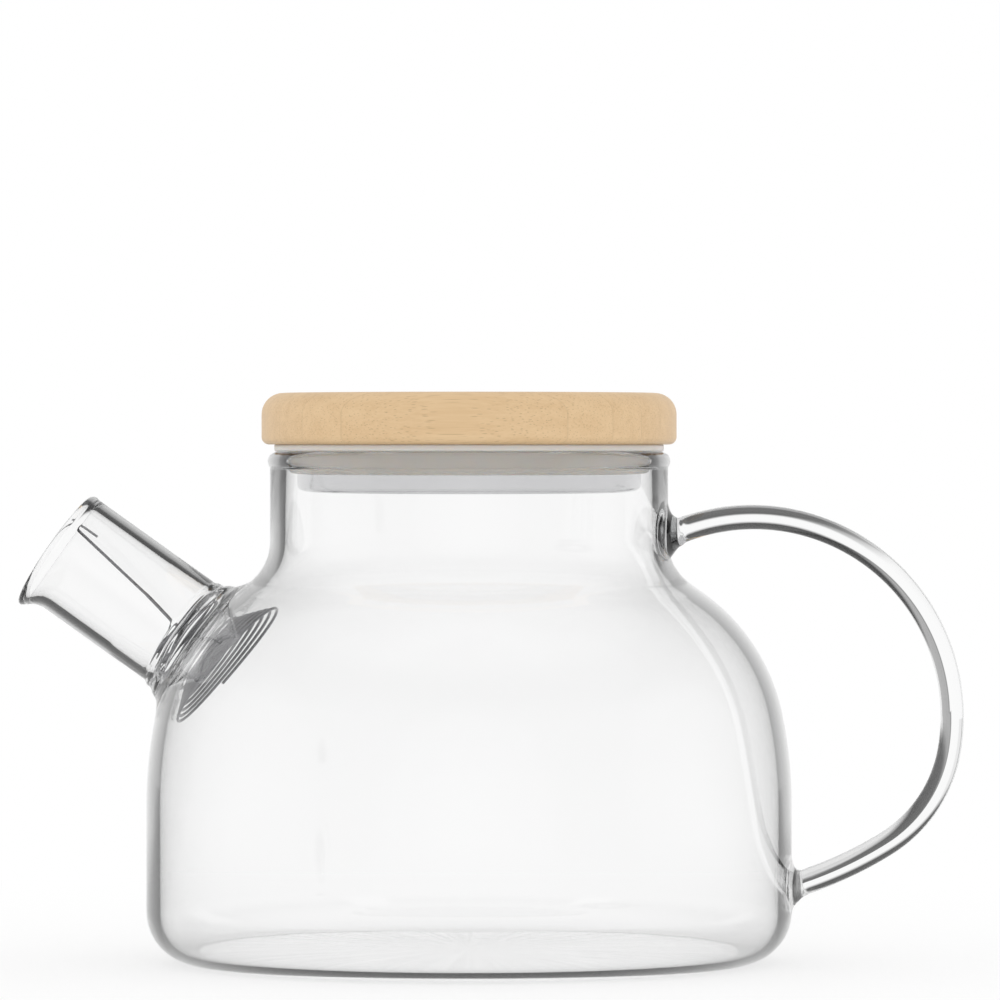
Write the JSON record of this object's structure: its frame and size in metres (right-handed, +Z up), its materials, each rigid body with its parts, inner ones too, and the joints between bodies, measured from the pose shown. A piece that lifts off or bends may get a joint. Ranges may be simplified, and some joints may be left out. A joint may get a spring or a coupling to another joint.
{
  "type": "glass teapot",
  "caption": "Clear blown-glass teapot with a wide neck, short angled spout, rod handle, wire strainer in the spout and a bamboo lid lined with steel and a silicone seal.",
  "frame": {"origin": "centre of the flat base, on the table plane", "axes": "+Z up along the vessel's axis, spout towards -X, handle towards +X"},
  "size_m": [0.203, 0.1378, 0.1216],
  "materials": {
    "glass": "clear fire-polished borosilicate glass",
    "bamboo": "sanded laminated bamboo, oiled",
    "steel": "brushed disc with polished side",
    "silicone": "milky translucent silicone, satin",
    "wire": "bright drawn stainless wire"
  },
  "bodies": {
    "pot": {"glass_body": "glass", "spout_tube": "glass", "spout_weld": "glass", "handle_rod": "glass", "handle_upper_weld": "glass", "handle_lower_weld": "glass"},
    "lid": {"lid_disc": "bamboo", "lid_cup": "steel", "lid_seal": "silicone"},
    "strainer": {"strainer_tail": "wire", "strainer_coil": "wire", "strainer_flare": "wire"}
  },
  "joints": [
    {"name": "lid_lift", "type": "slide", "parent": "pot", "child": "lid", "axis": [0, 0, 1], "range_m": [0, 0.056]},
    {"name": "strainer_pull", "type": "slide", "parent": "pot", "child": "strainer", "axis": [-0.8151, 0, 0.5793], "range_m": [0, 0.055], "deforming": ["strainer_flare"]}
  ]
}
